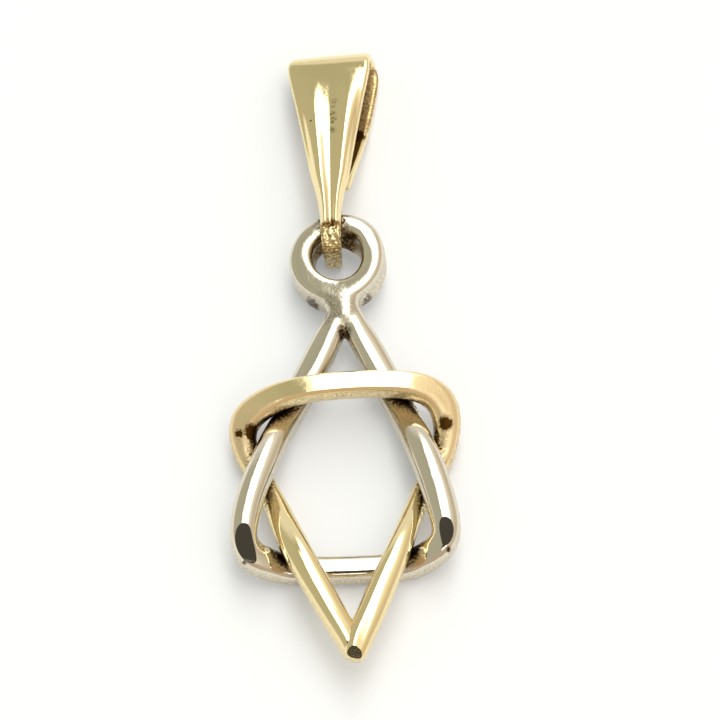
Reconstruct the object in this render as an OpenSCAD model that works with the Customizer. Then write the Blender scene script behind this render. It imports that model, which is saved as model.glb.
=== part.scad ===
// Star pendant of two interlaced wire triangles on a folded bail.
// It lies face up on a table: +Z is its front, and +Y the end with the bail.

/* [White triangle] */
// Width over the two lower corners
white_w = 10.3; // [9.6:0.1:12]
// Length from the ring's centre to the middle of the bottom bar
white_len = 14.6; // [13.5:0.1:16.5]
// Width of the wire, seen from the front
white_t = 1.25; // [1.05:0.05:1.35]
// Depth of the wire, front to back
white_d = 1.25; // [1.1:0.05:1.4]
// Outer diameter of the hanging ring
ring_d = 4.3; // [4:0.05:4.6]
// Hole of the hanging ring
ring_hole = 2.15; // [1.9:0.05:2.3]
// Depth of the hanging ring, front to back
ring_depth = 1.8; // [1.5:0.05:1.9]
// Width of the neck between the ring and the fork of the legs
neck_w = 1.4; // [1.3:0.05:1.7]

/* [Yellow triangle] */
// Width over the two upper corners
yellow_w = 10.4; // [9.8:0.1:12]
// Length from the middle of the top bar to the point
yellow_len = 13.2; // [12.5:0.1:14.5]
// Width of the wire, seen from the front
yellow_t = 1.2; // [1:0.05:1.3]
// Depth of the wire, front to back
yellow_d = 1.15; // [1:0.05:1.3]

/* [Bail] */
// Length from the bend inside the ring to the top of the fold
bail_len = 10.35; // [9:0.1:11]
// Width of the strap at the fold
bail_w = 3.75; // [3:0.05:4.5]
// Width of the strap where it meets the ring
tip_w = 0.95; // [0.8:0.05:1.1]
// Depth of the fold, front to back
bail_depth = 1.95; // [1.7:0.05:2.3]
// Thickness of the strap
gauge = 0.36; // [0.3:0.02:0.42]
// Height of the two lobes on the front
lobe_h = 0.24; // [0.1:0.02:0.3]
// Angle at which the bail lies turned about its length
bail_roll = 4; // [0:1:8]
// How far the strap's back lies to one side of its front
bail_skew = 0.3; // [0:0.05:0.4]

/* [Fit] */
// Gap between two pieces that cross
gap = 0.1; // [0.06:0.01:0.16]

/* [Hidden] */
$fn = 32;

SIDES = 14;
STEPS = 3;

// Heights of the wires' middles, lying on the table, and their rise over the other wire
white_low = white_d / 2;
white_rise = yellow_d + gap;
yellow_low = yellow_d / 2;
yellow_rise = white_d + gap;

white_half = (white_w - white_t) / 2;
yellow_half = (yellow_w - yellow_t) / 2;
ring_r = (ring_d + ring_hole) / 4;
ring_wall = (ring_d - ring_hole) / 2;

// The hook goes round the ring with play enough for the bail's turn, slid to one side in it
play = gap + tip_w / 2 * sin(bail_roll);
hook_z = ring_depth / 2 + play + gauge / 2;
ring_z = (hook_z + gauge / 2) * cos(bail_roll) + 0.5 * tip_w * sin(bail_roll);
bail_slide = -0.2;
bail_yaw = 0.6;

// The strap's back lies on the table along one edge, and the fold joins it to the front
bow = 0.1;
fold_r = (bail_depth - gauge) / 2;
fold_back_z =
  (0.45 * bail_w * sin(bail_roll) - ring_z) / cos(bail_roll) + gauge / 2 - 0.81 * bow;
fold_front_z = fold_back_z + 2 * fold_r;

// The strap's front starts a little proud of the hook that carries it
strap_start = 0.12;
strap_z = hook_z + 0.1 * gauge;

// Where the pieces lie along Y, before the whole is centred
bar_y = 0;
ring_y = bar_y + white_len;
top_bar_y = bar_y + 0.5618 * white_len;
point_y = top_bar_y - yellow_len;
hook_y = ring_y + ring_hole / 2 - play - gauge / 2 - 0.42;
fold_top_y = hook_y - gauge / 2 + bail_len;
middle_y = (fold_top_y + point_y) / 2;

// The white wire, from the neck down the left leg, along the bottom bar and up the right leg.
// across: share of white_half, along: share of white_len from the bar to the ring,
// level: 0 on the table, 1 over the yellow wire, wide and deep: shares of white_t and white_d
WHITE_ROWS = [
  [ 0.030, 0.869, 0.81, 0.70, 1.00],
  [ 0.018, 0.823, 0.79, 0.80, 1.00],
  [-0.085, 0.771, 0.72, 0.96, 1.00],
  [-0.178, 0.717, 0.56, 1.06, 1.00],
  [-0.290, 0.653, 0.36, 1.08, 1.00],
  [-0.425, 0.582, 0.20, 1.04, 1.00],
  [-0.568, 0.493, 0.22, 1.00, 1.00],
  [-0.692, 0.411, 0.74, 1.00, 1.00],
  [-0.825, 0.301, 1.08, 1.00, 1.00],
  [-0.920, 0.229, 1.16, 1.00, 1.00],
  [-0.985, 0.159, 1.17, 0.98, 1.00],
  [-1.020, 0.098, 1.08, 0.96, 1.00],
  [-1.008, 0.056, 0.92, 0.94, 1.00],
  [-0.950, 0.022, 0.72, 0.92, 1.00],
  [-0.830, 0.012, 0.48, 1.02, 1.00],
  [-0.670, 0.010, 0.06, 1.06, 1.00],
  [-0.480, 0.003, 0.02, 1.02, 1.00],
  [-0.220, 0.000, 0.00, 0.98, 1.00],
  [ 0.040, 0.000, 0.00, 0.98, 1.00],
  [ 0.280, 0.000, 0.00, 0.98, 1.00],
  [ 0.480, 0.003, 0.00, 1.00, 1.00],
  [ 0.650, 0.013, 0.04, 1.04, 1.00],
  [ 0.800, 0.023, 0.46, 1.06, 1.00],
  [ 0.900, 0.038, 0.72, 1.00, 1.00],
  [ 0.960, 0.066, 0.90, 1.02, 1.00],
  [ 0.962, 0.103, 1.08, 1.04, 1.00],
  [ 0.928, 0.156, 1.17, 1.10, 1.00],
  [ 0.882, 0.219, 1.16, 1.12, 1.00],
  [ 0.812, 0.301, 1.08, 1.12, 1.00],
  [ 0.700, 0.400, 0.80, 1.08, 1.00],
  [ 0.610, 0.482, 0.30, 1.04, 1.00],
  [ 0.500, 0.562, 0.20, 1.06, 1.00],
  [ 0.370, 0.648, 0.36, 1.08, 1.00],
  [ 0.260, 0.717, 0.56, 1.06, 1.00],
  [ 0.160, 0.771, 0.72, 0.96, 1.00],
  [ 0.088, 0.823, 0.79, 0.82, 1.00],
  [ 0.070, 0.872, 0.81, 0.70, 1.00],
];

// The neck, from inside the ring's wall down into the fork.
// across: share of neck_w, down: share of ring_d below the ring's centre,
// drop: share of white_d below the ring's front, wide: share of neck_w, deep: share of white_d
NECK_ROWS = [
  [0.00, 0.35, 0.50, 1.55, 0.96],
  [0.04, 0.41, 0.50, 1.46, 0.96],
  [0.08, 0.46, 0.50, 1.24, 0.96],
  [0.11, 0.51, 0.50, 1.08, 0.96],
  [0.14, 0.57, 0.50, 1.00, 0.96],
  [0.15, 0.63, 0.50, 1.00, 0.96],
  [0.15, 0.69, 0.51, 1.06, 0.94],
  [0.15, 0.77, 0.56, 1.10, 0.86],
  [0.15, 0.84, 0.65, 0.95, 0.74],
  [0.15, 0.94, 0.76, 0.72, 0.56],
];

// The rounded inner sides of the two lower corners, each from the leg to the bar.
// across: share of white_half, along: share of white_len, level: as above,
// thick: share of white_d
CORNER_ROWS = [
  [0.960, 0.080, 0.85, 0.58],
  [0.900, 0.046, 0.66, 0.68],
  [0.800, 0.036, 0.42, 0.75],
  [0.700, 0.028, 0.20, 0.75],
  [0.580, 0.016, 0.04, 0.70],
];

// The yellow wire, from the point up the left arm, along the top bar and down the right arm.
// across: share of yellow_half, along: share of yellow_len from the bar to the point,
// level: 0 on the table, 1 over the white wire, wide and deep: shares of yellow_t and yellow_d
YELLOW_ROWS = [
  [ 0.010, 0.954, 1.20, 0.84, 1.00],
  [-0.036, 0.914, 1.20, 0.92, 1.00],
  [-0.150, 0.843, 1.20, 0.95, 1.00],
  [-0.268, 0.756, 1.18, 1.02, 1.00],
  [-0.385, 0.675, 1.15, 1.06, 1.00],
  [-0.492, 0.589, 1.02, 1.08, 1.00],
  [-0.588, 0.497, 0.66, 1.08, 1.00],
  [-0.652, 0.421, 0.30, 0.98, 1.00],
  [-0.715, 0.355, 0.08, 0.88, 1.00],
  [-0.800, 0.289, 0.00, 0.86, 1.00],
  [-0.900, 0.228, 0.04, 0.88, 1.00],
  [-0.965, 0.175, 0.22, 0.94, 1.00],
  [-0.985, 0.130, 0.46, 1.02, 1.00],
  [-0.950, 0.088, 0.72, 1.12, 1.02],
  [-0.830, 0.056, 0.94, 1.08, 1.06],
  [-0.660, 0.032, 1.17, 1.00, 1.08],
  [-0.450, 0.014, 1.25, 0.95, 1.10],
  [-0.220, 0.005, 1.32, 0.94, 1.10],
  [ 0.020, 0.002, 1.34, 0.94, 1.10],
  [ 0.260, 0.000, 1.33, 0.94, 1.10],
  [ 0.500, 0.002, 1.28, 0.95, 1.10],
  [ 0.700, 0.006, 1.18, 1.00, 1.10],
  [ 0.870, 0.025, 0.98, 1.08, 1.06],
  [ 0.970, 0.061, 0.76, 1.10, 1.02],
  [ 0.998, 0.117, 0.50, 1.02, 1.00],
  [ 0.978, 0.173, 0.24, 0.94, 1.00],
  [ 0.925, 0.228, 0.04, 0.90, 1.00],
  [ 0.820, 0.289, 0.00, 0.88, 1.00],
  [ 0.725, 0.355, 0.08, 0.80, 1.00],
  [ 0.655, 0.421, 0.30, 0.78, 1.00],
  [ 0.582, 0.497, 0.66, 0.82, 1.00],
  [ 0.495, 0.589, 1.02, 0.90, 1.00],
  [ 0.390, 0.675, 1.15, 1.00, 1.00],
  [ 0.285, 0.756, 1.20, 1.04, 1.00],
  [ 0.185, 0.838, 1.26, 1.04, 1.00],
  [ 0.100, 0.898, 1.30, 1.00, 1.00],
  [ 0.045, 0.939, 1.30, 0.92, 1.00],
];

// The rounded ends of the two arms, soldered over each other at the point.
// across: share of yellow_half, along: share of yellow_len, level: as above,
// thick: share of yellow_d, from the left arm to the point and from the right arm to it
POINT_ROWS = [
  [-0.036, 0.914, 1.18, 0.74],
  [-0.020, 0.928, 1.18, 0.78],
  [ 0.000, 0.944, 1.17, 0.80],
  [ 0.014, 0.958, 1.15, 0.76],
  [ 0.020, 0.973, 1.12, 0.66],
  [ 0.016, 0.964, 1.20, 0.82],
  [ 0.025, 0.952, 1.26, 0.92],
  [ 0.045, 0.938, 1.29, 0.96],
  [ 0.085, 0.912, 1.30, 0.88],
];

// The bail's strap, from the ring to the fold.
// along: share of bail_len from the hook, wide: 0 is tip_w and 1 is bail_w,
// lobes: share of lobe_h on the front, rise: 0 the back lies low, 1 it meets the front
BAIL_ROWS = [
  [strap_start, 0.00, 1.00, 1.00],
  [0.190, 0.04, 1.00, 1.00],
  [0.240, 0.10, 1.00, 1.00],
  [0.290, 0.18, 1.00, 1.00],
  [0.340, 0.28, 1.00, 0.96],
  [0.390, 0.34, 1.00, 0.84],
  [0.490, 0.46, 1.00, 0.52],
  [0.595, 0.60, 1.00, 0.24],
  [0.695, 0.73, 1.00, 0.06],
  [0.745, 0.80, 0.95, 0.02],
  [0.820, 0.91, 0.65, 0.00],
  [0.870, 0.97, 0.25, 0.00],
];

// The hook, from the front of the strap round the ring's wall and back up behind the strap.
// along: share of bail_len from the hook's bend, up: share of hook_z,
// across and wide: shares of tip_w
HOOK_ROWS = [
  [0.165,  0.97,  0.00, 0.96],
  [0.100,  1.00,  0.00, 0.96],
  [0.032,  0.98,  0.00, 0.95],
  [0.006,  0.80,  0.00, 0.90],
  [0.000,  0.50,  0.00, 0.86],
  [0.000,  0.00, -0.02, 0.80],
  [0.000, -0.50, -0.04, 0.74],
  [0.006, -0.80, -0.05, 0.70],
  [0.032, -1.00, -0.06, 0.66],
  [0.100, -1.00, -0.04, 0.60],
  [0.155, -1.00,  0.00, 0.60],
  [0.195, -0.80,  0.03, 0.60],
  [0.225, -0.40,  0.06, 0.60],
  [0.260,  0.10,  0.08, 0.65],
  [0.300,  0.50,  0.10, 0.70],
];

function unit(v) = v / norm(v);

// A point at share t between the second and third of four rows, on a smooth curve
function between(a, b, c, d, t) =
  0.5 * (2 * b + (c - a) * t + (2 * a - 5 * b + 4 * c - d) * t * t
    + (3 * b - a - 3 * c + d) * t * t * t);

// Rows put on a smooth curve, with steps points to each row
function smooth(rows, steps) =
  let (last = len(rows) - 1)
  [
    for (i = [0:last - 1], k = [0:steps - 1])
      between(rows[max(i - 1, 0)], rows[i], rows[i + 1], rows[min(i + 2, last)], k / steps),
    rows[last],
  ];

// Rounded section of a wire, where a bulge of 2 is an ellipse
function wire_section(half_w, half_d, bulge) = [
  for (k = [0:SIDES - 1])
    let (a = 360 * (k + 0.5) / SIDES)
    [
      half_w * sign(cos(a)) * pow(abs(cos(a)), 2 / bulge),
      half_d * sign(sin(a)) * pow(abs(sin(a)), 2 / bulge),
    ]
];

// Sweeps sections along points, each one across the path and with its own top side.
// Its ends overlap, so it is made in two lengths that meet at the point number halfway,
// and each reaches one point further inside the other, drawn in by tuck.
module sweep(points, sections, tops, halfway, tuck = 0.75) {
  last = len(points) - 1;
  m = len(sections[0]);
  for (length = [[0, halfway], [halfway, last]]) {
    from = max(length[0] - 1, 0);
    to = min(length[1] + 1, last);
    n = to - from + 1;
    corners = [
      for (i = [from:to])
        let (
          ahead = unit(points[min(i + 1, last)] - points[max(i - 1, 0)]),
          top = unit(tops[i] - ahead * (ahead * tops[i])),
          side = cross(ahead, top),
          size = i < length[0] || i > length[1] ? tuck : 1
        )
        for (s = sections[i]) points[i] + (side * s[0] + top * s[1]) * size
    ];
    walls = [
      for (i = [0:n - 2], k = [0:m - 1])
        [i * m + k, i * m + (k + 1) % m, (i + 1) * m + (k + 1) % m, (i + 1) * m + k]
    ];
    first_end = [for (k = [0:m - 1]) m - 1 - k];
    last_end = [for (k = [0:m - 1]) (n - 1) * m + k];
    polyhedron(corners, concat(walls, [first_end, last_end]), convexity = 8);
  }
}

module wire(points, rows, wide, deep, bulge) {
  sweep(
    points,
    [for (r = rows) wire_section(r[3] * wide / 2, r[4] * deep / 2, bulge)],
    [for (r = rows) [0, 0, 1]],
    floor(len(points) / 2)
  );
}

module legs_and_bar() {
  rows = smooth(WHITE_ROWS, STEPS);
  wire(
    [for (r = rows) [r[0] * white_half, bar_y + r[1] * white_len, white_low + r[2] * white_rise]],
    rows, white_t, white_d, 2.6
  );
}

module ring() {
  translate([0, ring_y, ring_z])
    rotate_extrude($fn = 48)
      translate([ring_r, 0])
        polygon(wire_section(ring_wall / 2, ring_depth / 2, 3.6));
}

module neck() {
  rows = smooth(NECK_ROWS, 2);
  front = ring_z + ring_depth / 2;
  wire(
    [for (r = rows) [r[0] * neck_w, ring_y - r[1] * ring_d, front - r[2] * white_d]],
    rows, neck_w, white_d, 2.6
  );
}

module inner_corners() {
  for (side = [-1, 1], i = [0:len(CORNER_ROWS) - 2])
    hull()
      for (r = [CORNER_ROWS[i], CORNER_ROWS[i + 1]])
        translate([
          side * r[0] * white_half, bar_y + r[1] * white_len, white_low + r[2] * white_rise
        ])
          sphere(d = r[3] * white_d, $fn = 12);
}

module white_triangle() {
  color("#c9c8bd") {
    legs_and_bar();
    inner_corners();
    ring();
    neck();
  }
}

function yellow_place(r) =
  [r[0] * yellow_half, top_bar_y - r[1] * yellow_len, yellow_low + r[2] * yellow_rise];

module arms_and_bar() {
  rows = smooth(YELLOW_ROWS, STEPS);
  wire([for (r = rows) yellow_place(r)], rows, yellow_t, yellow_d, 2.4);
}

module arm_ends() {
  for (i = [0:len(POINT_ROWS) - 2])
    hull()
      for (r = [POINT_ROWS[i], POINT_ROWS[i + 1]])
        translate(yellow_place(r))
          sphere(d = r[3] * yellow_d, $fn = 16);
}

module yellow_triangle() {
  color("#d8b565") {
    arms_and_bar();
    arm_ends();
  }
}

// Height of the strap's middle, on the front and on the back, at a share of its length
function front_z(along) =
  strap_z + (fold_front_z - strap_z) * (along - strap_start) / (0.87 - strap_start);
function back_z(row) = fold_back_z + row[3] * (front_z(row[0]) - 0.9 * gauge - fold_back_z);
function half_width(row) = (tip_w + row[1] * (bail_w - tip_w)) / 2;

// Section of the strap: fifteen points over its front and five along its inner side
function strap_section(half, lobes) =
  let (sag = bow * pow(2 * half / bail_w, 2))
  concat(
    [
      for (s = [1, 0.9, 0.76, 0.6, 0.42, 0.26, 0.12, 0, -0.12, -0.26, -0.42, -0.6, -0.76, -0.9, -1])
        let (inward = (abs(s) - 0.12) / 0.76)
        [
          s * half,
          gauge / 2 * (abs(s) == 1 ? 0.4 : 1) - sag * s * s
            + lobes * lobe_h * (inward > 0 && inward < 1 ? pow(sin(180 * inward), 0.7) : 0),
        ]
    ],
    [for (s = [-1, -0.5, 0, 0.5, 1]) [s * half, -gauge / 2 - sag * s * s]]
  );

module strap() {
  front = smooth(BAIL_ROWS, 2);
  back = [for (i = [len(front) - 1:-1:0]) if (front[i][0] > 0.28) front[i]];
  fold_y = fold_top_y - gauge / 2 - fold_r;
  fold_z = (fold_front_z + fold_back_z) / 2;
  fold = [for (a = [90:-15:-90]) a];
  points = concat(
    [for (r = front) [0, hook_y + r[0] * bail_len, front_z(r[0])]],
    [
      for (a = fold)
        [bail_skew * (0.5 - a / 180), fold_y + fold_r * cos(a), fold_z + fold_r * sin(a)]
    ],
    [for (r = back) [bail_skew * (1 - 0.6 * r[3]), hook_y + r[0] * bail_len, back_z(r)]]
  );
  sections = concat(
    [for (r = front) strap_section(half_width(r), r[2])],
    [for (a = fold) strap_section(bail_w / 2, 0)],
    [for (r = back) strap_section(half_width(r), 0)]
  );
  tops = concat(
    [for (r = front) [0, 0, 1]],
    [for (a = fold) [0, cos(a), sin(a)]],
    [for (r = back) [0, 0, -1]]
  );
  sweep(points, sections, tops, len(front) + floor(len(fold) / 2));
}

module hook() {
  for (i = [0:len(HOOK_ROWS) - 2])
    hull()
      for (r = [HOOK_ROWS[i], HOOK_ROWS[i + 1]])
        translate([r[2] * tip_w, hook_y + r[0] * bail_len, r[1] * hook_z])
          rotate([0, 90, 0])
            cylinder(h = r[3] * tip_w, d = gauge, center = true, $fn = 12);
}

module bail() {
  color("#d8b565")
    translate([bail_slide, ring_y, ring_z])
      rotate([0, -bail_roll, -bail_yaw])
        translate([0, -ring_y, 0]) {
          strap();
          hook();
        }
}

translate([0, -middle_y, 0]) {
  bail();
  white_triangle();
  yellow_triangle();
}
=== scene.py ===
import math

import bmesh
import bpy
from mathutils import Matrix, Vector, noise
from mathutils.bvhtree import BVHTree


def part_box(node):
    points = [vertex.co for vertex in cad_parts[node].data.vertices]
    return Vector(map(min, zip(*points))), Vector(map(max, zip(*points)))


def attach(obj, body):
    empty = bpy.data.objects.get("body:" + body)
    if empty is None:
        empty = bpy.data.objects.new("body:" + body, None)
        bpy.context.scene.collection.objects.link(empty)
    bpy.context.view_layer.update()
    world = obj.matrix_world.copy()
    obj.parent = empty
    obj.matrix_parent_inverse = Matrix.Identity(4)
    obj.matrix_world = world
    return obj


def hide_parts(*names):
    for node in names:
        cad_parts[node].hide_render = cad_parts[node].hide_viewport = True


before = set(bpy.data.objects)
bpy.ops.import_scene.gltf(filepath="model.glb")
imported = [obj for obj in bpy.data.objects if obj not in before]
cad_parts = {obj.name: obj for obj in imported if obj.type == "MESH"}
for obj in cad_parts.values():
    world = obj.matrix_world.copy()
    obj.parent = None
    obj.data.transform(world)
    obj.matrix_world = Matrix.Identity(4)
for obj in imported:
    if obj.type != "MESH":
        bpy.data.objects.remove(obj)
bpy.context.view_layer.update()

# The white gold triangle: two legs and a bottom bar of bent wire, cast in one with the neck and
# the hanging ring in 14 carat white gold. The casting was trimmed and polished by hand, so its
# joins flow into each other. Lengths are in millimetres until a piece is finished.
MM = 0.001
WHITE_W = 10.3
WHITE_LEN = 14.6
WHITE_T = 1.25
WHITE_D = 1.25
RING_D = 4.3
RING_HOLE = 2.15
RING_DEPTH = 1.8
NECK_W = 1.4
YELLOW_D = 1.15
GAP = 0.1
TIP_W = 0.95
GAUGE = 0.36
BAIL_ROLL = math.radians(4)
RING_ROLL = math.radians(5)
WIRE_SIDES = 48
WIRE_BULGE = 2.6
FLAT_FROM = math.radians(52.5)
WHITE_VOXEL = 0.053
WHITE_PASSES = 12

# The ring's wall splays outwards round one angle, and its edges are crisper round another
RING_BULGE = 3.8
CRISPER_BY = 6
CRISP_AT = math.radians(225)
SPLAY = 0.26
SPLAY_AT = math.radians(50)

# The lower corners are ground flat on a plane through this place
CORNER_GROUND = (0, -8.437, 2.625)
CORNER_TILT = math.radians(21)

# The ring lies as high as the bail's hook, which goes round its wall, lets it
play = GAP + TIP_W / 2 * math.sin(BAIL_ROLL)
hook_z = RING_DEPTH / 2 + play + GAUGE / 2
ring_z = (hook_z + GAUGE / 2) * math.cos(BAIL_ROLL) + TIP_W / 2 * math.sin(BAIL_ROLL)
ring_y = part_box("white_triangle")[1].y / MM - RING_D / 2
bar_y = ring_y - WHITE_LEN
white_half = (WHITE_W - WHITE_T) / 2

# across: share of white_half, along: share of WHITE_LEN from the bar to the ring,
# level: 0 on the table, 1 over the yellow wire, wide and deep: shares of WHITE_T and WHITE_D
WHITE_ROWS = [
    [0.030, 0.869, 0.81, 0.70, 1.00],
    [0.018, 0.823, 0.79, 0.80, 1.00],
    [-0.085, 0.771, 0.72, 0.96, 1.00],
    [-0.178, 0.717, 0.56, 1.06, 1.00],
    [-0.290, 0.653, 0.36, 1.08, 1.00],
    [-0.425, 0.582, 0.20, 1.04, 1.00],
    [-0.568, 0.493, 0.22, 1.00, 1.00],
    [-0.692, 0.411, 0.74, 1.00, 1.00],
    [-0.825, 0.301, 1.08, 1.00, 1.00],
    [-0.920, 0.229, 1.16, 1.00, 1.00],
    [-0.985, 0.159, 1.17, 0.98, 1.00],
    [-1.020, 0.098, 1.08, 0.96, 1.00],
    [-1.008, 0.056, 0.92, 0.94, 1.00],
    [-0.950, 0.022, 0.72, 0.92, 1.00],
    [-0.830, 0.012, 0.48, 1.02, 1.00],
    [-0.670, 0.010, 0.06, 1.06, 1.00],
    [-0.480, 0.003, 0.02, 1.02, 1.00],
    [-0.220, 0.000, 0.00, 0.98, 1.00],
    [0.040, 0.000, 0.00, 0.98, 1.00],
    [0.280, 0.000, 0.00, 0.98, 1.00],
    [0.480, 0.003, 0.00, 1.00, 1.00],
    [0.650, 0.013, 0.04, 1.04, 1.00],
    [0.800, 0.023, 0.46, 1.06, 1.00],
    [0.900, 0.038, 0.72, 1.00, 1.00],
    [0.960, 0.066, 0.90, 1.02, 1.00],
    [0.962, 0.103, 1.08, 1.04, 1.00],
    [0.928, 0.156, 1.17, 1.10, 1.00],
    [0.882, 0.219, 1.16, 1.12, 1.00],
    [0.812, 0.301, 1.08, 1.12, 1.00],
    [0.700, 0.400, 0.80, 1.08, 1.00],
    [0.610, 0.482, 0.30, 1.04, 1.00],
    [0.500, 0.562, 0.20, 1.06, 1.00],
    [0.370, 0.648, 0.36, 1.08, 1.00],
    [0.260, 0.717, 0.56, 1.06, 1.00],
    [0.160, 0.771, 0.72, 0.96, 1.00],
    [0.088, 0.823, 0.79, 0.82, 1.00],
    [0.070, 0.872, 0.81, 0.70, 1.00],
]
# across: share of NECK_W, down: share of RING_D below the ring's centre,
# drop: share of WHITE_D below the ring's front, wide: share of NECK_W, deep: share of WHITE_D
NECK_ROWS = [
    [0.01, 0.33, 0.49, 1.90, 0.96],
    [0.03, 0.39, 0.49, 1.66, 0.96],
    [0.06, 0.45, 0.49, 1.28, 0.96],
    [0.09, 0.51, 0.50, 1.12, 0.96],
    [0.13, 0.57, 0.50, 1.02, 0.96],
    [0.15, 0.63, 0.51, 0.98, 0.96],
    [0.15, 0.67, 0.54, 0.84, 0.92],
    [0.15, 0.71, 0.62, 0.60, 0.84],
    [0.15, 0.75, 0.76, 0.36, 0.66],
    [0.15, 0.78, 0.95, 0.16, 0.40],
]
# The metal that fills the inner lower corners. across, along and level as in the wire's rows,
# thick: share of WHITE_D
CORNER_END = 0.35
CORNER_ROWS = [
    [0.960, 0.080, 0.85, 0.58],
    [0.900, 0.046, 0.66, 0.68],
    [0.800, 0.036, 0.42, 0.75],
    [0.700, 0.028, 0.20, 0.75],
    [0.580, 0.016, 0.04, 0.70],
]
# Where drops of solder were left at the inner lower corners, and their radii
SOLDER_BEADS = [
    [(-3.62, -9.47, 1.48), 0.33],
    [(-3.29, -9.72, 1.35), 0.27],
    [(3.26, -9.66, 1.40), 0.35],
]


def smooth(rows, steps):
    """Put rows on one smooth curve, with steps points to each row."""
    points = []
    last = len(rows) - 1
    for i in range(last):
        a, b, c, d = (rows[min(max(i + k, 0), last)] for k in (-1, 0, 1, 2))
        for step in range(steps):
            t = step / steps
            shares = (
                (1 - t) ** 3 / 6,
                (3 * t**3 - 6 * t**2 + 4) / 6,
                (-3 * t**3 + 3 * t**2 + 3 * t + 1) / 6,
                t**3 / 6,
            )
            points.append([
                sum(share * value for share, value in zip(shares, values))
                for values in zip(a, b, c, d)
            ])
    points.append(list(rows[last]))
    return points


def edges_of(loop):
    """The edges that join the vertices of one loop."""
    members = set(loop)
    return list({e for v in loop for e in v.link_edges if e.other_vert(v) in members})


def skin_over(bm, loops):
    """Join loops one after the other into a closed tube."""
    for first, second in zip(loops, loops[1:]):
        bmesh.ops.bridge_loops(bm, edges=edges_of(first) + edges_of(second))
    for loop in (loops[0], loops[-1]):
        bmesh.ops.contextual_create(bm, geom=edges_of(loop))


def wire_loop(bm, half_w, half_d, bulge, ground=0.0):
    """A rounded loop of edges round a wire, where a bulge of 2 is an ellipse.

    The share of half its depth that is ground off leaves a flat front. The vertices above the
    angle FLAT_FROM lie on it.
    """
    loop = bmesh.ops.create_circle(bm, segments=WIRE_SIDES, radius=1)["verts"]
    corner = math.asin((1 - max(ground, 0.002)) ** (bulge / 2))
    for vert in loop:
        angle = math.asin(max(min(vert.co.y, 1), -1))
        way = math.copysign(1, vert.co.x)
        if angle > FLAT_FROM - 0.01:
            inward = (math.pi / 2 - angle) / (math.pi / 2 - FLAT_FROM)
            across = inward * math.cos(corner) ** (2 / bulge)
            height = math.sin(corner) ** (2 / bulge)
        else:
            angle = (angle + math.pi / 2) * (corner + math.pi / 2) / (FLAT_FROM + math.pi / 2)
            angle -= math.pi / 2
            across = max(math.cos(angle), 0) ** (2 / bulge)
            height = math.copysign(abs(math.sin(angle)) ** (2 / bulge), angle)
        vert.co.x = half_w * way * across
        vert.co.y = half_d * height
    return loop


def stand_across(bm, loop, place, ahead, top):
    """Stand a loop across the way ahead, with its own Y towards the top."""
    ahead = ahead.normalized()
    side = ahead.cross(top).normalized()
    turn = Matrix((side, side.cross(ahead), ahead)).transposed().to_4x4()
    bmesh.ops.transform(bm, matrix=Matrix.Translation(place) @ turn, verts=loop)


def ways_ahead(places):
    """The direction of a path at each of its places."""
    last = len(places) - 1
    return [
        places[min(i + 1, last)] - places[max(i - 1, 0)]
        for i in range(last + 1)
    ]


def wire(bm, places, widths, depths, bulge, grounds=None, leans=None, ends=(0, 0)):
    """A wire along places, with the length over which each of its ends is rounded."""
    aheads = [ahead.normalized() for ahead in ways_ahead(places)]
    grounds = grounds or [0.0] * len(places)
    leans = leans or [0.0] * len(places)
    stations = list(zip(places, aheads, widths, depths, grounds, leans))
    for index, way, end_r in ((0, -1, ends[0]), (-1, 1, ends[1])):
        rounded = []
        for degrees in (15, 30, 45, 60, 75, 86):
            turn = math.radians(degrees)
            rounded.append((
                places[index] + aheads[index] * way * end_r * math.sin(turn),
                aheads[index],
                widths[index] * math.cos(turn),
                depths[index] * math.cos(turn),
                grounds[index],
                leans[index],
            ))
        if end_r:
            stations = rounded[::-1] + stations if way < 0 else stations + rounded
    loops = []
    for place, ahead, width, depth, ground, lean in stations:
        loop = wire_loop(bm, width / 2, depth / 2, bulge, ground)
        stand_across(bm, loop, place, ahead, Vector((lean, 0, 1)))
        loops.append(loop)
    skin_over(bm, loops)


def grown_together(bm, voxel, passes):
    """Fuse the parts of bm into one skin, as in a casting, and polish its joins."""
    mesh = bpy.data.meshes.new("parts")
    bm.to_mesh(mesh)
    parts = bpy.data.objects.new("parts", mesh)
    bpy.context.collection.objects.link(parts)
    remesh = parts.modifiers.new("skin", "REMESH")
    remesh.mode = "VOXEL"
    remesh.voxel_size = voxel
    skin = bpy.data.meshes.new_from_object(
        parts.evaluated_get(bpy.context.evaluated_depsgraph_get())
    )
    bm.clear()
    bm.from_mesh(skin)
    bpy.data.objects.remove(parts)
    bpy.data.meshes.remove(mesh)
    bpy.data.meshes.remove(skin)
    for _ in range(passes):
        bmesh.ops.smooth_vert(
            bm, verts=bm.verts, factor=0.5, use_axis_x=True, use_axis_y=True, use_axis_z=True
        )


def grind(bm, place, tilt):
    """Grind off what stands proud of a plane that slopes down towards the pendant's point."""
    cut = bmesh.ops.bisect_plane(
        bm,
        geom=bm.verts[:] + bm.edges[:] + bm.faces[:],
        plane_co=place,
        plane_no=(0, -math.sin(tilt), math.cos(tilt)),
        clear_outer=True,
    )
    rim = [part for part in cut["geom_cut"] if isinstance(part, bmesh.types.BMEdge)]
    bmesh.ops.holes_fill(bm, edges=rim)
    return rim


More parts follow.
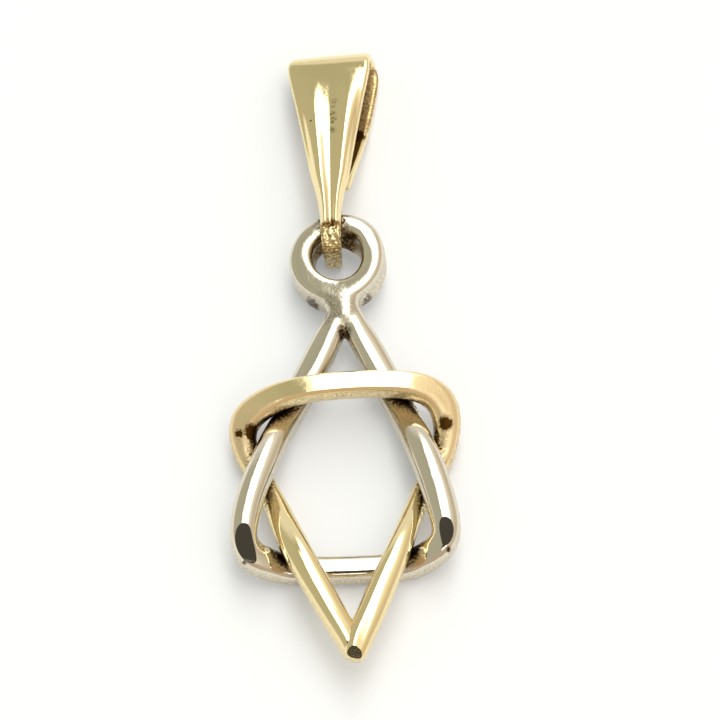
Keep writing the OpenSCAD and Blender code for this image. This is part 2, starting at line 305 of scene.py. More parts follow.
def finished(bm, name, crisp=math.pi, rims=()):
    """Turn bm into an object in metres, at the origin, with crisp rims and edges over an angle."""
    bmesh.ops.recalc_face_normals(bm, faces=bm.faces)
    bmesh.ops.scale(bm, vec=(MM, MM, MM), verts=bm.verts)
    for face in bm.faces:
        face.smooth = True
    for edge in bm.edges:
        edge.smooth = len(edge.link_faces) != 2 or edge.calc_face_angle() < crisp
    for edge in rims:
        edge.smooth = False
    mesh = bpy.data.meshes.new(name)
    bm.to_mesh(mesh)
    bm.free()
    piece = bpy.data.objects.new(name, mesh)
    bpy.context.collection.objects.link(piece)
    return piece


def white_place(across, along, level):
    """A place on the white wire's middle."""
    return Vector((
        across * white_half,
        bar_y + along * WHITE_LEN,
        WHITE_D / 2 + level * (YELLOW_D + GAP),
    ))


white = bmesh.new()
rows = smooth(NECK_ROWS, 4)
wire(
    white,
    [
        Vector((
            row[0] * NECK_W,
            ring_y - row[1] * RING_D,
            ring_z + RING_DEPTH / 2 - row[2] * WHITE_D,
        ))
        for row in rows
    ],
    [row[3] * NECK_W for row in rows],
    [row[4] * WHITE_D for row in rows],
    WIRE_BULGE,
)
# The ring's sections stand four degrees apart, and its ends overlap, so that they fuse
loops = []
for degrees in range(-4, 365, 4):
    turn = math.radians(degrees)
    out = Vector((math.cos(turn), math.sin(turn), 0))
    bulge = RING_BULGE + CRISPER_BY * max(math.cos(turn - CRISP_AT), 0) ** 4
    splay = SPLAY * max(math.cos(turn - SPLAY_AT), 0) ** 8
    section = wire_loop(white, (RING_D - RING_HOLE) / 4, RING_DEPTH / 2, bulge)
    place = Vector((0, ring_y, ring_z)) + (RING_D + RING_HOLE) / 4 * out
    ahead = Vector((-out.y, out.x, 0))
    stand_across(white, section, place, ahead, Vector((0, 0, 1)) + splay * out)
    loops.append(section)
skin_over(white, loops)
bmesh.ops.rotate(
    white,
    cent=(0, ring_y, ring_z),
    matrix=Matrix.Rotation(-RING_ROLL, 3, "Y"),
    verts=white.verts,
)
rows = smooth(WHITE_ROWS, 5)
wire(
    white,
    [white_place(*row[:3]) for row in rows],
    [row[3] * WHITE_T for row in rows],
    [row[4] * WHITE_D for row in rows],
    WIRE_BULGE,
)
for side in (-1, 1):
    rows = smooth(CORNER_ROWS, 4)
    wire(
        white,
        [white_place(side * row[0], row[1], row[2]) for row in rows],
        [row[3] * WHITE_D for row in rows],
        [row[3] * WHITE_D for row in rows],
        2,
        ends=(CORNER_END, CORNER_END),
    )
for place, bead_r in SOLDER_BEADS:
    bmesh.ops.create_icosphere(
        white, subdivisions=3, radius=bead_r, matrix=Matrix.Translation(place)
    )
grown_together(white, WHITE_VOXEL, WHITE_PASSES)
ground_rims = grind(white, CORNER_GROUND, CORNER_TILT)
white_triangle = finished(white, "white_gold_triangle", rims=ground_rims)


def linear(code):
    """An sRGB hex value as the linear colour that a node takes."""
    shares = [int(code[i:i + 2], 16) / 255 for i in (1, 3, 5)]
    return [s / 12.92 if s <= 0.04045 else ((s + 0.055) / 1.055) ** 2.4 for s in shares] + [1]


def add(tree, kind, links=(), **settings):
    """Add a node with its settings, and link its inputs."""
    node = tree.nodes.new(kind)
    for name, value in settings.items():
        setattr(node, name, value)
    for socket, source in dict(links).items():
        if isinstance(source, bpy.types.NodeSocket):
            tree.links.new(source, node.inputs[socket])
        else:
            node.inputs[socket].default_value = source
    return node


# Lengths in millimetres: the waves that a felt wheel leaves on gold, and the grain of the skin
# that casting leaves. The real grain is finer, and is drawn as coarse as it needs to show.
WAVE = 1.2
WAVE_H = 0.012
GRAIN = 0.12
GRAIN_H = 0.012
POLISHED_GRAIN_H = 0.0016
SKIN_ROUGHNESS = 0.38


def gold(name, colour, pale, grime_and_shade, roughness):
    """Polished gold, with dull skin where "cast" says, and a dark brown where its attribute for
    soiling and shade says.

    That brown is partly real soiling and partly painted shade between the pieces and painted dark
    reflections. Thin marks are broken up into flecks by the grain, and thick ones fill a pitted
    spot or a painted dark patch.
    """
    material = bpy.data.materials.new(name)
    material.use_nodes = True
    tree = material.node_tree
    shader = tree.nodes["Principled BSDF"]
    shader.inputs["Metallic"].default_value = 1
    place = add(tree, "ShaderNodeTexCoord").outputs["Object"]
    wave = add(
        tree, "ShaderNodeTexNoise", {"Vector": place, "Scale": 1 / (WAVE * MM), "Detail": 2}
    ).outputs[0]
    grain = add(
        tree, "ShaderNodeTexNoise", {"Vector": place, "Scale": 1 / (GRAIN * MM), "Detail": 3}
    ).outputs[0]
    held = add(tree, "ShaderNodeAttribute", attribute_name="grime_and_shade").outputs["Fac"]
    patchy = add(
        tree,
        "ShaderNodeMapRange",
        {"Value": grain, "From Min": 0.3, "From Max": 0.7, "To Min": -0.1, "To Max": 2.1},
        clamp=False,
    ).outputs[0]
    flecks = add(
        tree, "ShaderNodeMath", {0: held, 1: patchy}, operation="MULTIPLY", use_clamp=True
    ).outputs[0]
    pits_and_deep_shade = add(
        tree, "ShaderNodeMapRange", {"Value": held, "From Min": 0.75, "From Max": 0.95}
    ).outputs[0]
    dirt_and_shade = add(
        tree, "ShaderNodeMath", {0: flecks, 1: pits_and_deep_shade}, operation="MAXIMUM", use_clamp=True
    ).outputs[0]
    cast = add(tree, "ShaderNodeAttribute", attribute_name="cast").outputs["Fac"]
    dull = add(
        tree, "ShaderNodeMath", {0: dirt_and_shade, 1: cast}, operation="MAXIMUM", use_clamp=True
    ).outputs[0]
    skin = add(
        tree,
        "ShaderNodeMix",
        {0: cast, 6: linear(colour), 7: linear(pale)},
        data_type="RGBA",
    ).outputs[2]
    # The dark brown mixed in here is partly dirt and partly painted shade between pieces and
    # painted dark reflections in corners.
    tint = add(
        tree,
        "ShaderNodeMix",
        {0: dirt_and_shade, 6: skin, 7: linear(grime_and_shade)},
        data_type="RGBA",
    ).outputs[2]
    tree.links.new(tint, shader.inputs["Base Color"])
    polish = add(
        tree,
        "ShaderNodeMapRange",
        {"Value": dull, "To Min": roughness, "To Max": SKIN_ROUGHNESS},
    ).outputs[0]
    tree.links.new(polish, shader.inputs["Roughness"])
    low = add(
        tree, "ShaderNodeBump", {"Height": wave, "Distance": WAVE_H * MM, "Strength": 1}
    ).outputs[0]
    depth = add(
        tree,
        "ShaderNodeMapRange",
        {"Value": dull, "To Min": POLISHED_GRAIN_H * MM, "To Max": GRAIN_H * MM},
    ).outputs[0]
    fine = add(
        tree,
        "ShaderNodeBump",
        {"Height": grain, "Distance": depth, "Strength": 1, "Normal": low},
    ).outputs[0]
    tree.links.new(fine, shader.inputs["Normal"])
    return material


def fade(value, start, end):
    """How far a value is on its way from start to end, from 0 to 1."""
    return min(max((value - start) / (end - start), 0), 1)


CROTCH_X = 0.21
CROTCH_Y = 1.39


def white_skin(place, way):
    """How much of the cast skin is left on the white piece: its sides, and between its legs."""
    from_crotch = math.hypot(place.x - CROTCH_X, place.y - CROTCH_Y)
    return max(0.8 * fade(way.z, 0.55, 0.15), fade(from_crotch, 0.4, 0.2))


def mark(piece, skin):
    """Mark how much of the cast skin is left on a piece."""
    amounts = [skin(vert.co / MM, vert.normal) for vert in piece.data.vertices]
    cast = piece.data.attributes.new("cast", "FLOAT", "POINT")
    cast.data.foreach_set("value", amounts)


# White gold, cast and then polished on a felt wheel: a warm grey mirror with slow waves. The skin
# that the wheel left on its sides is paler and dull.
WHITE_GOLD = "#dfd8c6"
WHITE_SKIN = "#e8dfc8"
# The dark brown below serves dirt, and also painted shade and painted dark reflections.
WHITE_GRIME_AND_SHADE = "#4e3a1e"
WHITE_ROUGHNESS = 0.08
white_triangle.data.materials.append(
    gold("polished_white_gold", WHITE_GOLD, WHITE_SKIN, WHITE_GRIME_AND_SHADE, WHITE_ROUGHNESS)
)
mark(white_triangle, white_skin)
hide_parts("white_triangle")
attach(white_triangle, "root")

# The yellow gold triangle: a wire form cast in 14 carat yellow gold, with a bowed top bar and two
# round corners. It was threaded under and over the white wire and soldered at the point, with the
# right arm lapped over the left. The front of its bow was ground flat, and all of it polished.
YELLOW_W = 10.4
YELLOW_LEN = 13.2
YELLOW_T = 1.2
TOP_BAR_AT = 0.5618
ARM_END = 0.3
ARM_LEAN = 0.9
ARM_LEANS_FROM = 0.6
BOW_LEAN = 0.35
BOW_LEANS_FROM = 0.45
YELLOW_CRISP = math.radians(22)

# The lapped point is ground flat on a plane through this place
TIP_GROUND = (0, -14.78, 2.42)
TIP_TILT = math.radians(30)

top_bar_y = bar_y + TOP_BAR_AT * WHITE_LEN
yellow_half = (YELLOW_W - YELLOW_T) / 2

# across: share of yellow_half, along: share of YELLOW_LEN from the bar to the point,
# level: 0 on the table, 1 over the white wire, wide and deep: shares of YELLOW_T and YELLOW_D,
# ground: share of half the depth that is ground off the front
YELLOW_ROWS = [
    [0.016, 0.968, 0.92, 0.66, 0.74, 0.00],
    [0.008, 0.955, 0.97, 0.80, 0.88, 0.00],
    [-0.012, 0.936, 1.03, 0.88, 0.96, 0.00],
    [-0.036, 0.914, 1.08, 0.92, 1.00, 0.00],
    [-0.150, 0.843, 1.16, 0.95, 1.00, 0.00],
    [-0.268, 0.756, 1.18, 1.02, 1.00, 0.00],
    [-0.385, 0.675, 1.15, 1.06, 1.00, 0.00],
    [-0.492, 0.589, 1.02, 1.08, 1.00, 0.00],
    [-0.588, 0.497, 0.66, 1.08, 1.00, 0.00],
    [-0.652, 0.421, 0.30, 0.98, 1.00, 0.00],
    [-0.715, 0.355, 0.08, 0.88, 1.00, 0.00],
    [-0.800, 0.289, 0.00, 0.86, 1.00, 0.00],
    [-0.900, 0.228, 0.04, 0.88, 1.00, 0.00],
    [-0.965, 0.175, 0.22, 0.94, 1.00, 0.00],
    [-0.985, 0.130, 0.46, 1.02, 1.00, 0.00],
    [-0.950, 0.088, 0.72, 1.12, 1.02, 0.00],
    [-0.830, 0.056, 0.94, 1.08, 1.06, 0.06],
    [-0.660, 0.032, 1.19, 1.00, 1.05, 0.11],
    [-0.450, 0.014, 1.27, 0.95, 1.08, 0.14],
    [-0.220, 0.005, 1.32, 0.94, 1.10, 0.14],
    [0.020, 0.002, 1.34, 0.94, 1.10, 0.14],
    [0.260, 0.000, 1.33, 0.94, 1.10, 0.14],
    [0.500, 0.002, 1.28, 0.95, 1.10, 0.14],
    [0.700, 0.006, 1.18, 1.00, 1.10, 0.11],
    [0.870, 0.025, 0.98, 1.08, 1.06, 0.04],
    [0.970, 0.061, 0.76, 1.10, 1.02, 0.00],
    [0.998, 0.117, 0.50, 1.02, 1.00, 0.00],
    [0.978, 0.173, 0.24, 0.94, 1.00, 0.00],
    [0.925, 0.228, 0.04, 0.90, 1.00, 0.00],
    [0.820, 0.289, 0.00, 0.88, 1.00, 0.00],
    [0.725, 0.355, 0.08, 0.80, 1.00, 0.00],
    [0.655, 0.421, 0.30, 0.78, 1.00, 0.00],
    [0.582, 0.497, 0.66, 0.82, 1.00, 0.00],
    [0.495, 0.589, 1.02, 0.90, 1.00, 0.00],
    [0.390, 0.675, 1.15, 1.00, 1.00, 0.00],
    [0.285, 0.756, 1.18, 1.04, 1.00, 0.00],
    [0.185, 0.838, 1.17, 1.05, 1.00, 0.01],
    [0.100, 0.898, 1.13, 1.04, 1.00, 0.02],
    [0.058, 0.930, 1.09, 1.00, 1.00, 0.02],
    [0.032, 0.955, 1.05, 0.95, 1.00, 0.01],
    [0.014, 0.972, 1.01, 0.86, 0.98, 0.00],
]


def front_lean(row):
    """How far the wire's front leans to the right: down the arms and at the bow's right end."""
    down_arm = max(row[1] - ARM_LEANS_FROM, 0)
    at_bow_end = max(row[0] - BOW_LEANS_FROM - row[1], 0)
    return ARM_LEAN * down_arm + BOW_LEAN * at_bow_end


yellow = bmesh.new()
rows = smooth(YELLOW_ROWS, 6)
wire(
    yellow,
    [
        Vector((
            row[0] * yellow_half,
            top_bar_y - row[1] * YELLOW_LEN,
            YELLOW_D / 2 + row[2] * (WHITE_D + GAP),
        ))
        for row in rows
    ],
    [row[3] * YELLOW_T for row in rows],
    [row[4] * YELLOW_D for row in rows],
    WIRE_BULGE,
    grounds=[row[5] for row in rows],
    leans=[front_lean(row) for row in rows],
    ends=(ARM_END, ARM_END),
)
ground_rims = grind(yellow, TIP_GROUND, TIP_TILT)
yellow_triangle = finished(yellow, "yellow_gold_triangle", YELLOW_CRISP, ground_rims)


def on_bow(place):
    """How far a place on the yellow piece belongs to its bow and corners, and not to its arms."""
    return fade(place.y, -6.2, -5.0)


def yellow_skin(place, way):
    """How much of the cast skin is left on the yellow piece: its sides, and most of its corners."""
    arm = 0.4 * fade(way.z, 0.45, 0.15)
    side = 0.5 * fade(way.z, 0.7, 0.3)
    beside_flat = fade(way.z, 0.985, 0.935) * fade(abs(place.x), 2.2, 3.1)
    corner = fade(abs(place.x), 3.8, 4.2)
    return arm + on_bow(place) * (max(side, 0.85 * beside_flat, 0.85 * corner) - arm)


# Yellow gold, cast and then polished on a felt wheel: a pale yellow mirror, sharper than the
# white one. The skin left on its sides and corners is a dull tan.
YELLOW_GOLD = "#f6e5b4"
YELLOW_SKIN = "#f2dbae"
# The dark brown below serves dirt, and also painted shade and painted dark reflections.
YELLOW_GRIME_AND_SHADE = "#4e3210"
YELLOW_ROUGHNESS = 0.06
yellow_triangle.data.materials.append(
    gold("polished_yellow_gold", YELLOW_GOLD, YELLOW_SKIN, YELLOW_GRIME_AND_SHADE, YELLOW_ROUGHNESS)
)
mark(yellow_triangle, yellow_skin)
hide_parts("yellow_triangle")
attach(yellow_triangle, "root")

# The bail: one strap of cast yellow gold with two rounded lobes on its front, folded over at the
# top for the chain and drawn down to a hook round the ring. The hook was closed and left rough,
# the lobes were polished.
BAIL_LEN = 10.35
BAIL_W = 3.75
BAIL_DEPTH = 1.95
LOBE_H = 0.24
BAIL_YAW = math.radians(0.6)
BAIL_SKEW = 0.3
BAIL_SLIDE = -0.2
BOW = 0.1
FRONT_BOW = 0.03
FRONT_LEAN = 0.035
GROOVE_SHIFT = 0.05
STRAP_START = 0.12
STRAP_END = 0.87
STRAP_SIDES = 96
EDGE_R = 0.16
FOLD_PINCH = 0.05
BACK_FROM = 0.28
BACK_EDGE = 0.9
HOOK_SLACK = 0.42
HOOK_BULGE = 5
BAIL_VOXEL = 0.04
BAIL_PASSES = 4

# The hook was left rough up to this share of BAIL_LEN, with marks of two lengths
ROUGH_TO = 0.086
ROUGH_H = 0.05
DENT = 1 / 4.5
SCRATCH = 1 / 11

# Where the cast skin is left: up to the hook's top, and on what faces inwards in the fold
HOOK_TOP_Y = 5.9
FOLD_MIDDLE_Z = 0.95
FOLD_FROM_Y = 7.5
FOLD_TO_Y = 14.8

fold_r = (BAIL_DEPTH - GAUGE) / 2
fold_back_z = (
    (BACK_EDGE * BAIL_W / 2 * math.sin(BAIL_ROLL) - ring_z) / math.cos(BAIL_ROLL)
    + GAUGE / 2
    - BACK_EDGE**2 * BOW
)
fold_front_z = fold_back_z + 2 * fold_r
strap_z = hook_z + 0.1 * GAUGE
hook_y = ring_y + RING_HOLE / 2 - play - GAUGE / 2 - HOOK_SLACK
fold_top_y = hook_y - GAUGE / 2 + BAIL_LEN

# along: share of BAIL_LEN from the hook, wide: 0 is TIP_W and 1 is BAIL_W,
# lobes: share of LOBE_H on the front, rise: 0 the back lies low, 1 it meets the front
BAIL_ROWS = [
    [0.088, 0.00, 1.00, 1.00],
    [0.100, 0.00, 1.00, 1.00],
    [0.140, 0.01, 1.00, 1.00],
    [0.190, 0.04, 1.00, 1.00],
    [0.240, 0.10, 1.00, 1.00],
    [0.290, 0.18, 1.00, 1.00],
    [0.340, 0.28, 1.00, 0.96],
    [0.390, 0.34, 1.00, 0.84],
    [0.490, 0.46, 1.00, 0.52],
    [0.595, 0.60, 0.92, 0.24],
    [0.695, 0.73, 0.62, 0.06],
    [0.745, 0.80, 0.40, 0.02],
    [0.820, 0.91, 0.14, 0.00],
    [0.870, 0.97, 0.04, 0.00],
]
# along: share of BAIL_LEN from the hook's bend, up: share of hook_z,
# across and wide: shares of TIP_W
HOOK_ROWS = [
    [0.165, 0.97, 0.00, 0.96],
    [0.100, 1.00, 0.00, 0.96],
    [0.032, 0.98, 0.00, 0.95],
    [0.006, 0.80, 0.00, 0.90],
    [0.000, 0.50, 0.00, 0.86],
    [0.000, 0.00, -0.02, 0.80],
    [0.000, -0.50, -0.04, 0.74],
    [0.006, -0.80, -0.05, 0.70],
    [0.032, -1.00, -0.06, 0.66],
    [0.100, -1.00, -0.04, 0.60],
    [0.155, -1.00, 0.00, 0.60],
    [0.195, -0.80, 0.03, 0.60],
    [0.225, -0.40, 0.06, 0.60],
    [0.260, 0.10, 0.08, 0.65],
    [0.300, 0.50, 0.10, 0.70],
]


def front_z(along):
    """Height of the strap's middle on the front."""
    share = (along - STRAP_START) / (STRAP_END - STRAP_START)
    return strap_z + (fold_front_z - strap_z) * share


def back_z(row):
    """Height of the strap's middle on the back, which at rise 1 is sunk a little in the front."""
    return fold_back_z + row[3] * (front_z(row[0]) - 0.9 * GAUGE - fold_back_z)


def half_width(row):
    """Half the strap's width."""
    return (TIP_W + row[1] * (BAIL_W - TIP_W)) / 2


def lobe_profile(share):
    """Height of a lobe from 0 to 1, at a share of the way from the groove to the strap's edge."""
    groove, crest, rim = 0.27, 0.48, 0.87
    if share < groove:
        return 0.52 + 0.2 * share / groove
    if share < crest:
        return 1 - 0.28 * ((crest - share) / (crest - groove)) ** 1.5
    if share < rim:
        return 1 - ((share - crest) / (rim - crest)) ** 3
    return 0


def strap_loop(bm, half, lobes, bow):
    """A loop of edges round the strap, with rounded edges and two lobes on its front."""
    loop = bmesh.ops.create_circle(bm, segments=STRAP_SIDES, radius=1)["verts"]
    sag = bow * (2 * half / BAIL_W) ** 2
    for vert in loop:
        share = vert.co.x
        front = vert.co.y > 0
        inset = min((1 - abs(share)) * half / EDGE_R, 1)
        thick = GAUGE / 2 * math.sqrt(1 - (1 - inset) ** 2)
        lift = 0
        if front:
            aside = abs(share - GROOVE_SHIFT * (1 - share**2))
            lift = lobes * LOBE_H * lobe_profile(aside) + FRONT_LEAN * share * half
        vert.co.x = share * half
        vert.co.y = (thick if front else -thick) - sag * share**2 + lift
    return loop


bail = bmesh.new()
front_rows = smooth(BAIL_ROWS, 5)
back_rows = [row for row in reversed(front_rows) if row[0] > BACK_FROM]
fold_y = fold_top_y - GAUGE / 2 - fold_r
fold_z = (fold_front_z + fold_back_z) / 2
stations = []
for row in front_rows:
    place = Vector((0, hook_y + row[0] * BAIL_LEN, front_z(row[0])))
    stations.append((place, Vector((0, 0, 1)), half_width(row), row[2], FRONT_BOW))
for degrees in range(85, -90, -5):
    turn = math.radians(degrees)
    share = 0.5 - degrees / 180
    place = Vector((
        BAIL_SKEW * share,
        fold_y + fold_r * math.cos(turn),
        fold_z + fold_r * math.sin(turn),
    ))
    half = BAIL_W / 2 * (1 - FOLD_PINCH * math.cos(turn))
    bow = FRONT_BOW + share * (BOW - FRONT_BOW)
    stations.append((place, Vector((0, math.cos(turn), math.sin(turn))), half, 0, bow))
for row in back_rows:
    place = Vector((
        BAIL_SKEW * (1 - 0.6 * row[3]),
        hook_y + row[0] * BAIL_LEN,
        back_z(row),
    ))
    stations.append((place, Vector((0, 0, -1)), half_width(row), 0, BOW))
loops = []
for station, ahead in zip(stations, ways_ahead([station[0] for station in stations])):
    place, top, half, lobes, bow = station
    loop = strap_loop(bail, half, lobes, bow)
    stand_across(bail, loop, place, ahead, top)
    loops.append(loop)
skin_over(bail, loops)

rows = smooth(HOOK_ROWS, 4)
places = [Vector((row[2] * TIP_W, hook_y + row[0] * BAIL_LEN, row[1] * hook_z)) for row in rows]
loops = []
for row, place, ahead in zip(rows, places, ways_ahead(places)):
    loop = wire_loop(bail, row[3] * TIP_W / 2, GAUGE / 2, HOOK_BULGE)
    stand_across(bail, loop, place, ahead, Vector((0, -ahead.z, ahead.y)))
    loops.append(loop)
skin_over(bail, loops)
grown_together(bail, BAIL_VOXEL, BAIL_PASSES)
rough_to = hook_y + ROUGH_TO * BAIL_LEN
for vert in bail.verts:
    if vert.co.y < rough_to:
        marks = noise.noise(vert.co / DENT) + 0.6 * noise.noise(vert.co / SCRATCH)
        vert.co += vert.normal * ROUGH_H * marks
bmesh.ops.transform(
    bail,
    matrix=(
        Matrix.Translation((BAIL_SLIDE, ring_y, ring_z))
        @ Matrix.Rotation(-BAIL_YAW, 4, "Z")
        @ Matrix.Rotation(-BAIL_ROLL, 4, "Y")
        @ Matrix.Translation((0, -ring_y, 0))
    ),
    verts=bail.verts,
)
folded_bail = finished(bail, "folded_bail")


def bail_skin(place, way):
    """How much of the cast skin is left on the bail: its hook, and the inside of its fold."""
    if place.y < HOOK_TOP_Y:
        return 0.6
    inwards = (FOLD_MIDDLE_Z - place.z) * way.z
    return 1 if inwards > 0.12 and FOLD_FROM_Y < place.y < FOLD_TO_Y else 0


# Yellow gold as it was cast, polished in front alone: a pale yellow mirror on the lobes, and dull
# and browner on the hook and inside the fold, where no wheel reaches.
BAIL_GOLD = "#f6e5b4"
BAIL_SKIN = "#f2d9a0"
# The dark brown below serves dirt, and also painted shade and painted dark reflections.
BAIL_GRIME_AND_SHADE = "#583a14"
BAIL_ROUGHNESS = 0.08
folded_bail.data.materials.append(
    gold("cast_yellow_gold", BAIL_GOLD, BAIL_SKIN, BAIL_GRIME_AND_SHADE, BAIL_ROUGHNESS)
)
mark(folded_bail, bail_skin)
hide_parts("bail")
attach(folded_bail, "root")

# The grime and painted shade: dried polish and dirt that no cloth wipes out of the crossings,
# creases and pits, with painted shade where the pieces come close and shade each other, and painted
# dark reflections of the camera in corners. It sits within the reach given below of another piece,
# in spots of x, y, z, reach and strength, and as a thin brown staining, partly painted shade, on
# the sides and dull skin.
GRIME_AND_SHADE_REACH = 0.5
AT_TOUCH = 1.4
DEPTH_COUNTS = 0.4


def white_stain_and_shade(place, way):
    """How dark the white piece's sides are: partly real staining, partly painted shade."""
    return 0.2 * fade(way.z, 0.55, 0.15)


def yellow_stain_and_shade(place, way):
    """How dark the yellow piece's sides are, and more so on its bow: partly real staining, partly
    painted shade.
    """
    return (0.12 + 0.12 * on_bow(place)) * fade(way.z, 0.6, 0.3)


def bail_stain(place, way):
    """How stained the bail is: its hook, and the inside of its fold."""
    return (0.6 if place.y < HOOK_TOP_Y else 0.35) * bail_skin(place, way)


def hold_grime_and_shade(piece, neighbours, spots, stain_and_shade):
    """Mark where soiling and painted shade sit: close to another piece, in spots, and as staining
    with painted shade on the sides.
    """
    trees = [
        BVHTree.FromPolygons(
            [vert.co for vert in other.data.vertices],
            [face.vertices for face in other.data.polygons],
        )
        for other in neighbours
    ]
    amounts = []
    for vert in piece.data.vertices:
        amount = 0
        # Being close to another piece darkens the surface: painted shade between the pieces, with
        # some real grime.
        for tree in trees:
            distance = tree.find_nearest(vert.co, GRIME_AND_SHADE_REACH * MM)[3]
            if distance is not None:
                amount = max(amount, AT_TOUCH * (1 - distance / (GRIME_AND_SHADE_REACH * MM)))
        for x, y, z, reach, strength in spots:
            away = vert.co / MM - Vector((x, y, z))
            away = math.hypot(away.x, away.y, DEPTH_COUNTS * away.z) / reach
            if away < 1:
                amount = max(amount, strength * min(1, 2 * (1 - away)))
        # The sides of the triangles are darkened by painted shade as well as by staining.
        amounts.append(min(1, max(amount, stain_and_shade(vert.co / MM, vert.normal))))
    held = piece.data.attributes.new("grime_and_shade", "FLOAT", "POINT")
    held.data.foreach_set("value", amounts)


hold_grime_and_shade(
    white_triangle,
    [yellow_triangle, folded_bail],
    [
        # Spots: seam and pits at the bar and lower corners, and partly dirt, partly painted shade
        # in and under the ring and round the neck
        [0.48, 5.50, 1.4, 0.55, 0.8],
        [1.15, 2.95, 1.0, 0.45, 0.9],
        [-1.15, 2.85, 1.0, 0.45, 0.9],
        [1.85, 4.05, 0.9, 0.30, 0.7],
        [0.15, 0.95, 1.4, 0.50, 0.9],
        [-0.15, -10.32, 1.0, 0.08, 1.0],
        [-0.16, -10.58, 0.6, 0.06, 0.8],
        [-0.25, 2.05, 2.3, 1.15, 0.28],
        [-3.60, -9.78, 1.2, 0.14, 1.2],
        [2.76, -9.79, 1.2, 0.18, 1.2],
        [-4.58, -10.07, 1.9, 0.14, 0.9],
        [4.42, -9.84, 2.0, 0.14, 0.9],
    ],
    white_stain_and_shade,
)
hold_grime_and_shade(
    yellow_triangle,
    [white_triangle],
    [
        # Spots: at the two upper corners, a painted dark reflection of the camera and painted shade
        # under the bow
        [-4.68, -3.80, 2.0, 0.24, 2.0],
        [-4.10, -3.72, 1.5, 0.42, 1.8],
        [4.50, -3.66, 2.0, 0.38, 1.8],
        [-0.10, -13.70, 1.9, 0.30, 0.6],
    ],
    yellow_stain_and_shade,
)
hold_grime_and_shade(
    folded_bail,
    [white_triangle],
    [
        # Spots: pits and dirt along the groove, and painted shade inside the fold at the back's
        # right edge
        [-1.01, 11.25, 2.5, 0.08, 1.2],
        [0.08, 12.25, 2.2, 0.20, 0.3],
        [0.03, 11.95, 2.2, 0.13, 0.5],
        [-0.04, 11.60, 2.2, 0.24, 0.4],
        [0.03, 11.30, 2.3, 0.18, 0.5],
        [-0.02, 11.12, 2.3, 0.10, 1.0],
        [-0.06, 10.70, 2.4, 0.22, 0.4],
        [-0.25, 5.85, 2.8, 0.30, 0.8],
        [1.05, 11.15, 0.9, 0.45, 1.6],
    ],
    bail_stain,
)

# The table: a sheet of white card, large enough to be seen in the gold from every side. It lies
# flat under the pendant, and its size is in metres.
CARD_SIZE = 2
CARD_WHITE = "#f1f3f4"
CARD_ROUGHNESS = 0.9
CARD_GLOW = "#cfe0fb"
CARD_GLOW_STRENGTH = 0.18
table = bmesh.new()
bmesh.ops.create_grid(table, x_segments=1, y_segments=1, size=CARD_SIZE)
card = bpy.data.meshes.new("table")
table.to_mesh(card)
table.free()
table = bpy.data.objects.new("table", card)
bpy.context.collection.objects.link(table)

# Uncoated white card, rolled smooth: it scatters light with no gloss. Its faint cool glow is the
# light that reaches it under the tent's low sides.
material = bpy.data.materials.new("white_card")
material.use_nodes = True
shader = material.node_tree.nodes["Principled BSDF"]
shader.inputs["Base Color"].default_value = linear(CARD_WHITE)
shader.inputs["Roughness"].default_value = CARD_ROUGHNESS
shader.inputs["Emission Color"].default_value = linear(CARD_GLOW)
shader.inputs["Emission Strength"].default_value = CARD_GLOW_STRENGTH
card.materials.append(material)

# The camera looks down on the table from beyond the pendant's point, a little turned. Its
# distance and the width that it sees are in millimetres.
TILT = math.radians(25)
TURN = math.radians(2.1)
DISTANCE = 400
VIEW_WIDTH = 32.04
LOOK_AT = Vector((0.814, -0.040, 1.0))
back = Vector((0, -math.sin(TILT), math.cos(TILT)))
right = Vector((1, 0, 0))
up = Vector((0, math.cos(TILT), math.sin(TILT)))
lens = bpy.data.cameras.new("camera")
lens.lens = lens.sensor_width * DISTANCE / VIEW_WIDTH
camera = bpy.data.objects.new("camera", lens)
bpy.context.collection.objects.link(camera)
turned_right = right * math.cos(TURN) - up * math.sin(TURN)
turned_up = right * math.sin(TURN) + up * math.cos(TURN)
camera.matrix_world = (
    Matrix.Translation((LOOK_AT + back * DISTANCE) * MM)
    @ Matrix((turned_right, turned_up, back)).transposed().to_4x4()
)
bpy.context.scene.camera = camera
bpy.context.scene.view_settings.view_transform = "Standard"

# The light: a white tent with a long softbox a little right of straight overhead. Left of the
# box the tent is in an olive-grey shade, right of it the tent fades to a warm cream. The camera
# and the room behind it are the dark things that the gold mirrors.
PEAK = 3.6
FRONT_ROOM = [0.62, 0.50, 0.40]
FRONT_ROOM_FROM = -0.60
FRONT_ROOM_TO = -0.78
BACK_ROOM = [0.85, 0.82, 0.78]
BACK_ROOM_FROM = 0.75
BACK_ROOM_TO = 0.9

# The camera's dark body, as a share of PEAK, the angle it fills and that of its soft rim
CAMERA_BLACK = (0.02, 0.018, 0.015, 1)
CAMERA_R = math.radians(14)
CAMERA_RIM = 0.02

# angle to the right of overhead in degrees, and the light from there
TENT = [
    [-90, 1.00, 0.98, 0.95],
    [-83, 0.92, 0.90, 0.84],
    [-74, 0.55, 0.52, 0.42],
    [-40, 0.53, 0.52, 0.42],
    [-20, 0.52, 0.51, 0.41],
    [-9.5, 0.46, 0.45, 0.35],
    [-4.0, 3.60, 3.58, 3.50],
    [14, 3.60, 3.55, 3.40],
    [22, 1.10, 1.03, 0.90],
    [44, 0.80, 0.72, 0.60],
    [62, 0.68, 0.57, 0.45],
    [80, 0.80, 0.72, 0.62],
    [90, 0.95, 0.90, 0.85],
]


def share_of_peak(light):
    """A light as the colour that gives it at a strength of PEAK."""
    return [part / PEAK for part in light] + [1]


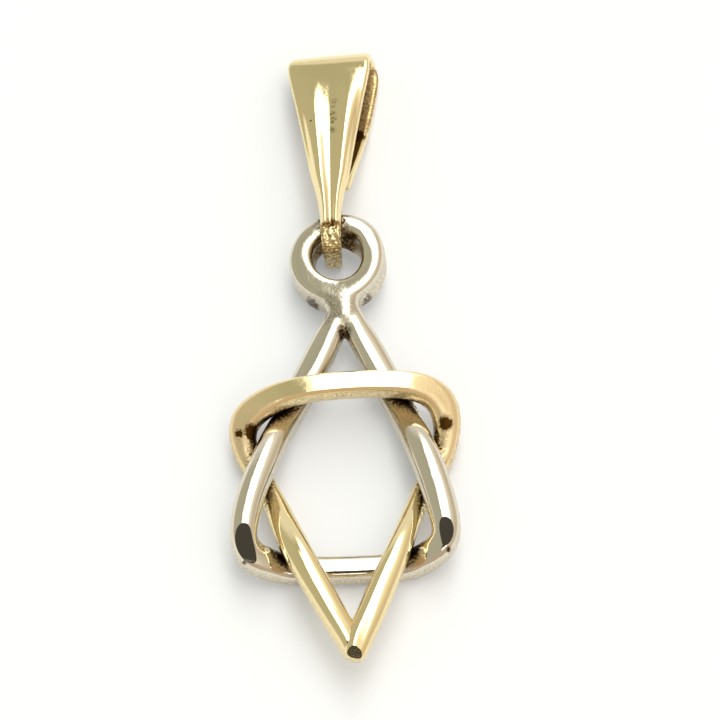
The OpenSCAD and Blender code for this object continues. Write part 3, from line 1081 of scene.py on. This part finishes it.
world = bpy.data.worlds.new("light_tent")
bpy.context.scene.world = world
world.use_nodes = True
tree = world.node_tree
background = tree.nodes["Background"]
direction = add(tree, "ShaderNodeTexCoord").outputs["Generated"]
parts = add(tree, "ShaderNodeSeparateXYZ", {0: direction}).outputs
lean = add(tree, "ShaderNodeMath", {0: parts[0], 1: parts[2]}, operation="ARCTAN2").outputs[0]
share = add(
    tree,
    "ShaderNodeMapRange",
    {"Value": lean, "From Min": -math.pi / 2, "From Max": math.pi / 2},
).outputs[0]
ramp = add(tree, "ShaderNodeValToRGB", {0: share})
for number, (angle, *light) in enumerate(TENT):
    # A new ramp already has two stops
    if number < 2:
        stop = ramp.color_ramp.elements[number]
        stop.position = (angle + 90) / 180
    else:
        stop = ramp.color_ramp.elements.new((angle + 90) / 180)
    stop.color = share_of_peak(light)
low_in_front = add(
    tree,
    "ShaderNodeMapRange",
    {"Value": parts[1], "From Min": FRONT_ROOM_FROM, "From Max": FRONT_ROOM_TO},
    interpolation_type="SMOOTHSTEP",
).outputs[0]
room = add(
    tree,
    "ShaderNodeMix",
    {0: low_in_front, 6: ramp.outputs[0], 7: share_of_peak(FRONT_ROOM)},
    data_type="RGBA",
).outputs[2]
low_behind = add(
    tree,
    "ShaderNodeMapRange",
    {"Value": parts[1], "From Min": BACK_ROOM_FROM, "From Max": BACK_ROOM_TO},
    interpolation_type="SMOOTHSTEP",
).outputs[0]
tent = add(
    tree,
    "ShaderNodeMix",
    {0: low_behind, 6: room, 7: share_of_peak(BACK_ROOM)},
    data_type="RGBA",
).outputs[2]
towards_camera = add(
    tree, "ShaderNodeVectorMath", {0: direction, 1: back}, operation="DOT_PRODUCT"
).outputs["Value"]
on_camera = add(
    tree,
    "ShaderNodeMapRange",
    {
        "Value": towards_camera,
        "From Min": math.cos(CAMERA_R + CAMERA_RIM),
        "From Max": math.cos(CAMERA_R),
    },
).outputs[0]
mirrored = add(
    tree,
    "ShaderNodeMix",
    {0: on_camera, 6: tent, 7: CAMERA_BLACK},
    data_type="RGBA",
).outputs[2]
tree.links.new(mirrored, background.inputs["Color"])
background.inputs["Strength"].default_value = PEAK
